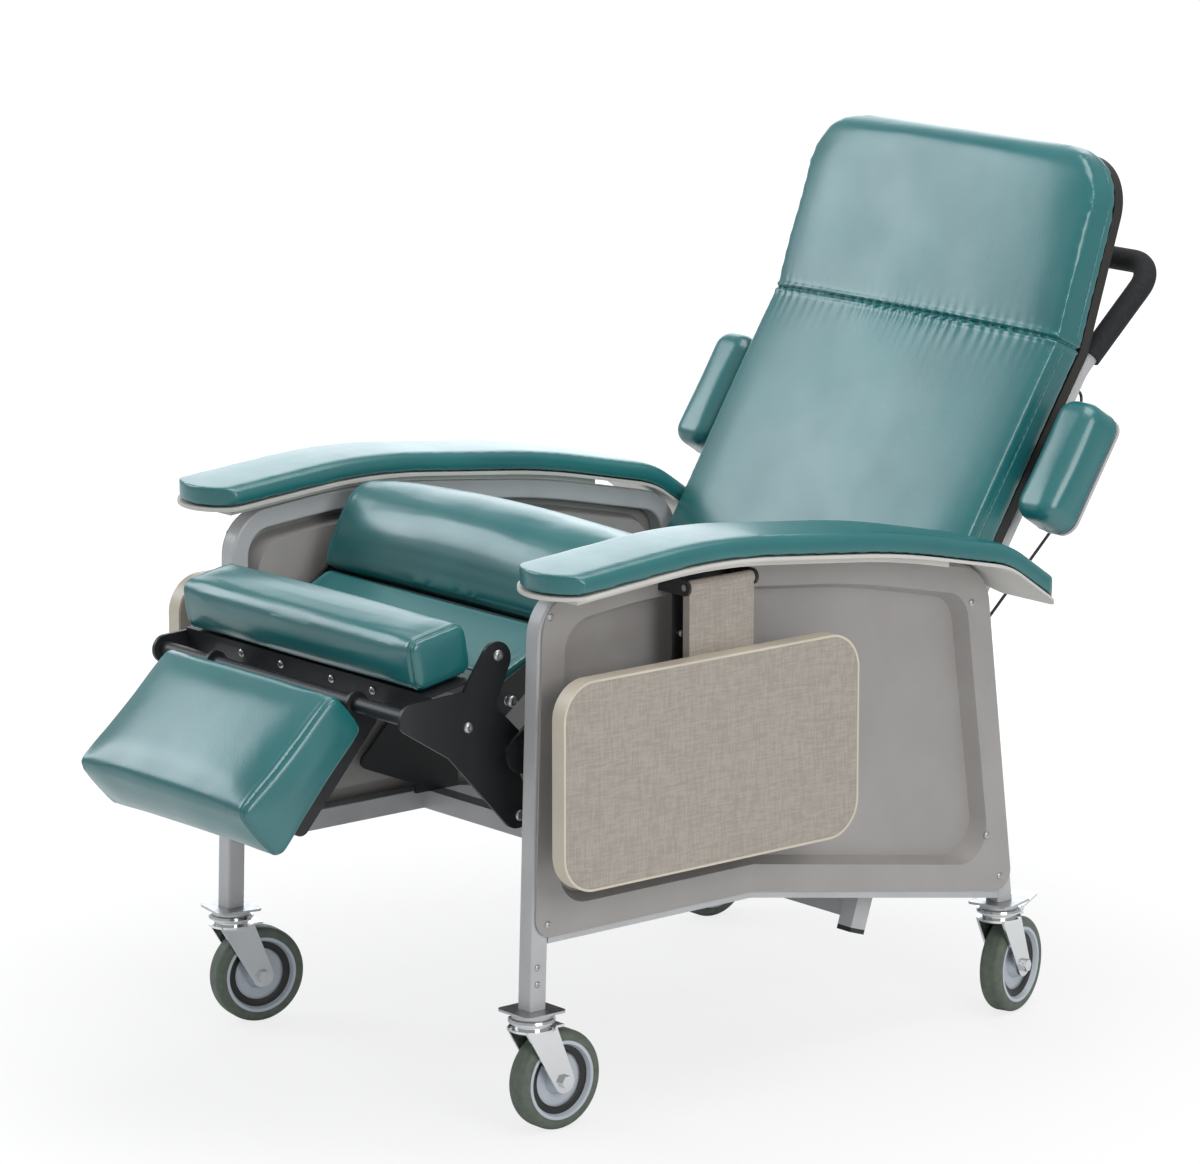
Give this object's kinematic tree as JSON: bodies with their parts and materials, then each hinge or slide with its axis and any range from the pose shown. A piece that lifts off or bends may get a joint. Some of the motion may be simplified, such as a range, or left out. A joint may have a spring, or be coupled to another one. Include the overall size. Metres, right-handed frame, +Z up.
{
  "type": "geriatric chair",
  "caption": "Reclining care chair on casters: padded seat, back with head section and wing pads, linked leg and foot rests, padded arms, side panels, fold-down side trays and a rear push bar.",
  "frame": {"origin": "on the floor, under the middle of the chair and halfway between the caster stems", "axes": "+Z up; the sitter faces -Y; +X is the sitter's left"},
  "size_m": [0.81, 1.4459, 1.1127],
  "materials": {
    "frame_paint": "fine silver-grey powder coat",
    "panel_plastic": "taupe grey moulded plastic, slightly grained",
    "vinyl": "jade green coated upholstery cloth",
    "arm_base_plastic": "pale warm grey moulded plastic",
    "dark_metal": "black powder coat",
    "steel": "zinc plated steel",
    "chrome": "bright chrome plate",
    "board": "plywood, stained dark",
    "laminate": "taupe linen laminate on board",
    "tray_edge": "cream edge band",
    "black_plastic": "black moulded plastic",
    "foam": "black foam grip",
    "hub_plastic": "grey-blue moulded plastic",
    "tyre_rubber": "grey-green rubber tread",
    "pedal_plastic": "dark moulded plastic"
  },
  "bodies": {
    "chassis": {"side_frame_left": "frame_paint", "side_frame_right": "frame_paint", "lower_frame": "frame_paint", "rear_cross_tube": "frame_paint", "side_panel_left": "panel_plastic", "side_panel_right": "panel_plastic", "arm_base_left": "arm_base_plastic", "arm_base_right": "arm_base_plastic", "arm_pad_left": "vinyl", "arm_pad_right": "vinyl", "mech_plate_left": "dark_metal", "mech_plate_right": "dark_metal", "hinge_pins": "steel", "tray_brackets": "dark_metal", "tray_hinge_pins": "steel", "tray_latches": "chrome", "caster_raceways": "steel"},
    "seat": {"seat_frame": "dark_metal", "seat_base": "board", "seat_cushion": "vinyl", "seat_flap": "vinyl", "leg_pins": "steel"},
    "back": {"back_cushion": "vinyl", "head_cushion": "vinyl", "back_board": "board", "back_frame": "frame_paint", "handle_grip": "foam", "post_caps": "black_plastic", "release_cable": "black_plastic"},
    "wing_left": {"wing_bracket_left": "frame_paint", "wing_pad_left": "vinyl"},
    "wing_right": {"wing_bracket_right": "frame_paint", "wing_pad_right": "vinyl"},
    "leg_rest": {"leg_arm_left": "dark_metal", "leg_arm_right": "dark_metal", "leg_cross_tube": "dark_metal", "calf_pad": "vinyl", "calf_channel": "dark_metal"},
    "foot_rest": {"foot_pad": "vinyl", "foot_arms": "dark_metal"},
    "tray_left": {"tray_board_left": "laminate", "tray_band_left": "tray_edge", "tray_neck_left": "laminate"},
    "tray_right": {"tray_board_right": "laminate", "tray_band_right": "tray_edge", "tray_neck_right": "laminate"},
    "caster_front_left": {"fork_front_left": "chrome"},
    "wheel_front_left": {"hub_front_left": "hub_plastic", "tyre_front_left": "tyre_rubber"},
    "caster_front_right": {"fork_front_right": "chrome"},
    "wheel_front_right": {"hub_front_right": "hub_plastic", "tyre_front_right": "tyre_rubber"},
    "caster_rear_left": {"fork_rear_left": "chrome"},
    "wheel_rear_left": {"hub_rear_left": "hub_plastic", "tyre_rear_left": "tyre_rubber"},
    "caster_rear_right": {"fork_rear_right": "chrome"},
    "wheel_rear_right": {"hub_rear_right": "hub_plastic", "tyre_rear_right": "tyre_rubber"},
    "pedal_rear_left": {"brake_pedal_rear_left": "pedal_plastic"},
    "pedal_rear_right": {"brake_pedal_rear_right": "pedal_plastic"}
  },
  "joints": [
    {"name": "back_recline", "type": "hinge", "parent": "chassis", "child": "back", "pos_m": [0, 0.34618, 0.47458], "axis": [-1, 0, 0], "range_deg": [-16, 18]},
    {"name": "seat_tilt", "type": "hinge", "parent": "chassis", "child": "seat", "pos_m": [0, 0.15, 0.455], "axis": [-1, 0, 0], "range_deg": [-9.6, 10.8]},
    {"name": "leg_rest_lift", "type": "hinge", "parent": "seat", "child": "leg_rest", "pos_m": [0, -0.374, 0.464], "axis": [-1, 0, 0], "range_deg": [-65, 8]},
    {"name": "foot_rest_fold", "type": "hinge", "parent": "leg_rest", "child": "foot_rest", "pos_m": [0, -0.527, 0.525], "axis": [-1, 0, 0], "range_deg": [-4, 32.5]},
    {"name": "wing_left_height", "type": "slide", "parent": "back", "child": "wing_left", "axis": [0, 0.5446, 0.8387], "range_m": [-0.015, 0.07]},
    {"name": "tray_left_fold", "type": "hinge", "parent": "chassis", "child": "tray_left", "pos_m": [0.369, -0.1485, 0.66], "axis": [0, -1, 0], "range_deg": [0, 90]},
    {"name": "wing_right_height", "type": "slide", "parent": "back", "child": "wing_right", "axis": [0, 0.5446, 0.8387], "range_m": [-0.015, 0.07]},
    {"name": "tray_right_fold", "type": "hinge", "parent": "chassis", "child": "tray_right", "pos_m": [-0.369, -0.1485, 0.66], "axis": [0, 1, 0], "range_deg": [0, 90]},
    {"name": "caster_front_left_swivel", "type": "hinge", "parent": "chassis", "child": "caster_front_left", "pos_m": [0.305, -0.389, 0.15], "axis": [0, 0, 1], "continuous": true},
    {"name": "wheel_front_left_roll", "type": "hinge", "parent": "caster_front_left", "child": "wheel_front_left", "pos_m": [0.305, -0.354, 0.0625], "axis": [1, 0, 0], "continuous": true},
    {"name": "caster_front_right_swivel", "type": "hinge", "parent": "chassis", "child": "caster_front_right", "pos_m": [-0.305, -0.389, 0.15], "axis": [0, 0, 1], "continuous": true},
    {"name": "wheel_front_right_roll", "type": "hinge", "parent": "caster_front_right", "child": "wheel_front_right", "pos_m": [-0.29832, -0.35464, 0.0625], "axis": [0.9816, -0.1908, 0], "continuous": true},
    {"name": "caster_rear_left_swivel", "type": "hinge", "parent": "chassis", "child": "caster_rear_left", "pos_m": [0.305, 0.389, 0.15], "axis": [0, 0, 1], "continuous": true},
    {"name": "wheel_rear_left_roll", "type": "hinge", "parent": "caster_rear_left", "child": "wheel_rear_left", "pos_m": [0.29418, 0.42229, 0.0625], "axis": [0.9511, 0.309, 0], "continuous": true},
    {"name": "caster_rear_right_swivel", "type": "hinge", "parent": "chassis", "child": "caster_rear_right", "pos_m": [-0.305, 0.389, 0.15], "axis": [0, 0, 1], "continuous": true},
    {"name": "wheel_rear_right_roll", "type": "hinge", "parent": "caster_rear_right", "child": "wheel_rear_right", "pos_m": [-0.305, 0.424, 0.0625], "axis": [1, 0, 0], "continuous": true},
    {"name": "pedal_rear_left_press", "type": "hinge", "parent": "caster_rear_left", "child": "pedal_rear_left", "pos_m": [0.2948, 0.42039, 0.1382], "axis": [-0.9511, -0.309, 0], "range_deg": [0, 12]},
    {"name": "pedal_rear_right_press", "type": "hinge", "parent": "caster_rear_right", "child": "pedal_rear_right", "pos_m": [-0.305, 0.422, 0.1382], "axis": [-1, 0, 0], "range_deg": [0, 12]}
  ],
  "couplings": [
    {"joint": "seat_tilt", "follows": "back_recline", "ratio": 0.6},
    {"joint": "foot_rest_fold", "follows": "leg_rest_lift", "ratio": -0.5}
  ]
}
